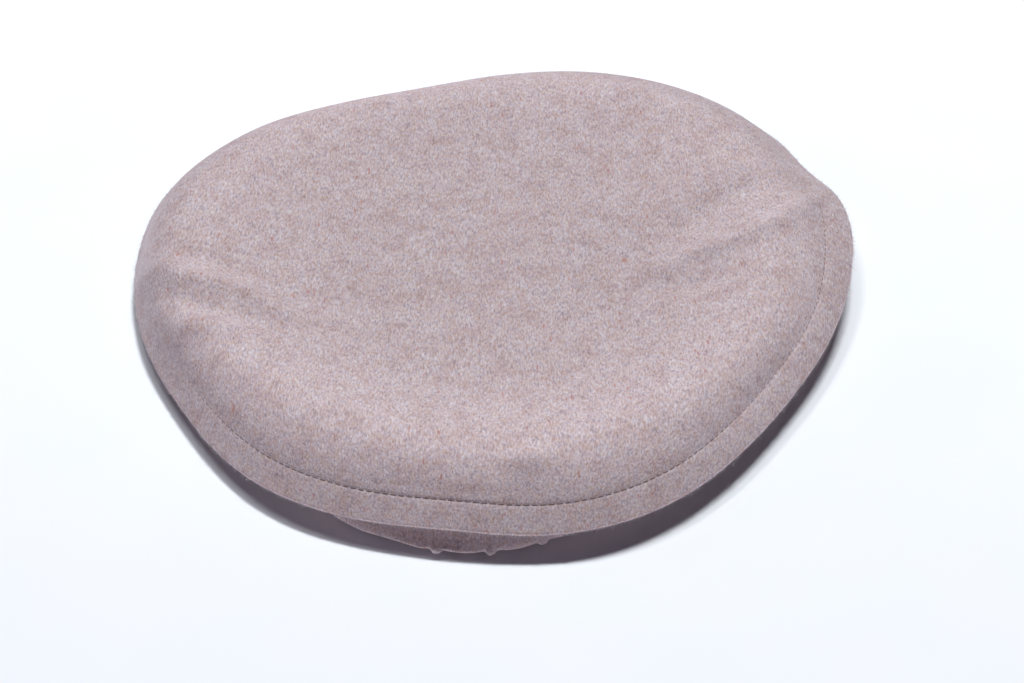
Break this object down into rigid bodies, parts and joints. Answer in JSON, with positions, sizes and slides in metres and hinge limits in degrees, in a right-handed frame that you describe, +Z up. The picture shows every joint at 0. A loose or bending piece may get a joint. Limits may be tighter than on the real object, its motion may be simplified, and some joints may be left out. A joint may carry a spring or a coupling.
{
  "type": "round flat-topped wool cap",
  "caption": "Soft round wool cap with a broad flat crown, a stitched flange round its edge and a rolled brim beneath.",
  "frame": {"origin": "on the surface the cap rests on, under the middle of its outline", "axes": "+Z up through the crown, +Y towards the back, +X to the right as seen from the front"},
  "size_m": [0.2872, 0.2764, 0.027],
  "materials": {
    "wool": "felted melange wool, matt with a soft fuzz",
    "interlining": "matt non-woven stiffener",
    "lining": "plain cotton, slight sheen",
    "seam_tape": "matt twill tape",
    "sweatband": "smooth, slightly satin",
    "thread": "matt spun thread",
    "lining_thread": "matt spun thread",
    "sweatband_thread": "matt spun thread"
  },
  "bodies": {
    "root": {"crown_panel": "wool", "crown_interlining": "interlining", "crown_lining": "lining", "side_band": "wool", "side_seam_tape": "seam_tape", "side_lining": "lining", "sweatband": "sweatband", "rim_topstitch": "thread", "rim_bobbin_thread": "thread", "lining_seam_thread": "lining_thread", "sweatband_stitch": "sweatband_thread"}
  },
  "joints": []
}
